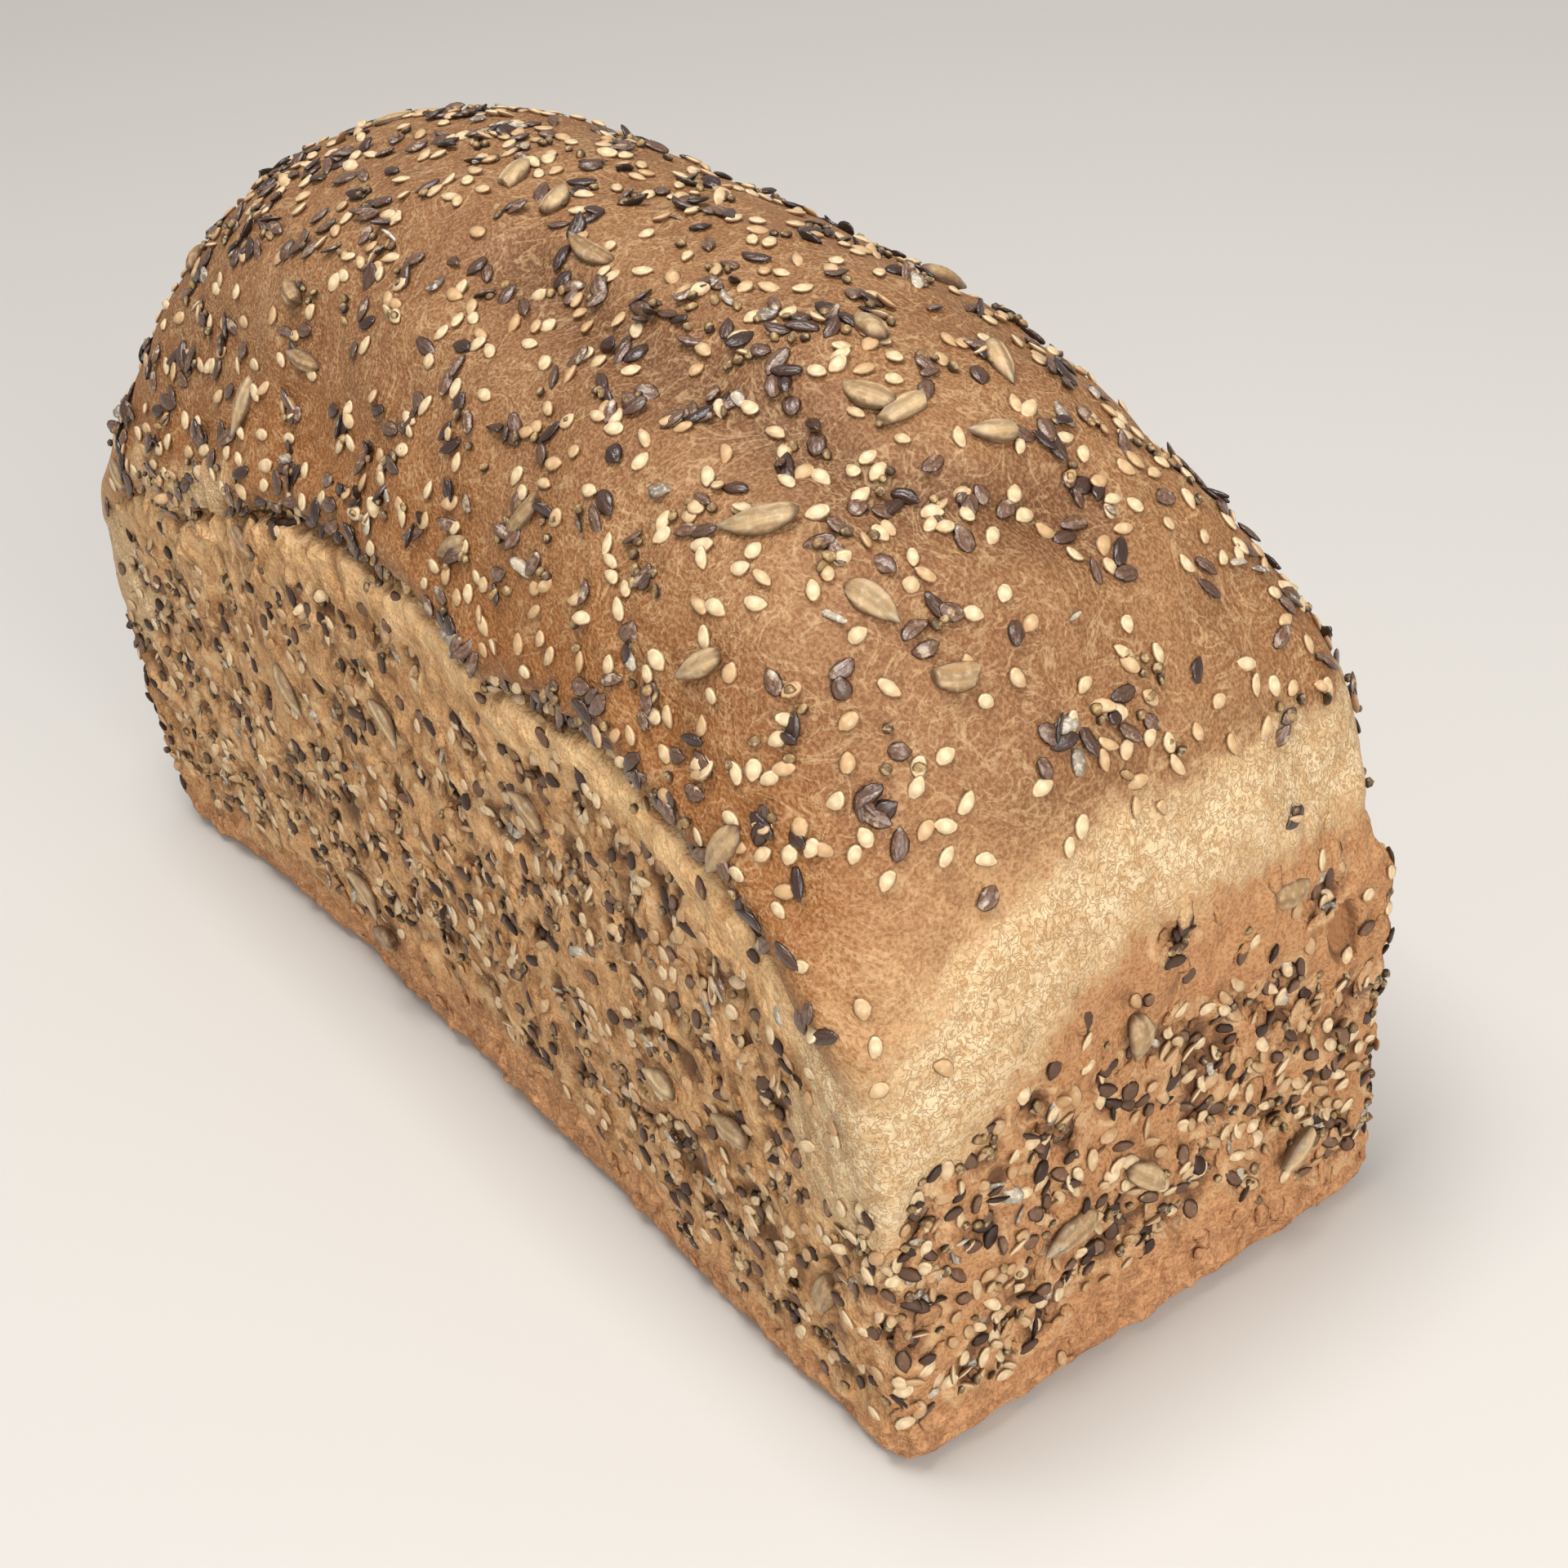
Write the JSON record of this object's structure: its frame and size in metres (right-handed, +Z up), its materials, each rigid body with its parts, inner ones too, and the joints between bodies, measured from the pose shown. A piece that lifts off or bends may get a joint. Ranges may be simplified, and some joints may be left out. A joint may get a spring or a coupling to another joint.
{
  "type": "multigrain sandwich loaf",
  "caption": "Whole tin-baked multigrain bread loaf with a domed top, straight walls, a flat base and a crust set with mixed seeds.",
  "frame": {"origin": "centre of the loaf's flat base, on the surface it stands on", "axes": "+X along the loaf towards the front end, +Y across it, +Z up through the dome"},
  "size_m": [0.2532, 0.1087, 0.1558],
  "materials": {
    "baked_crust": "matt baked crust with seeds"
  },
  "bodies": {
    "root": {"loaf": "baked_crust"}
  },
  "joints": []
}
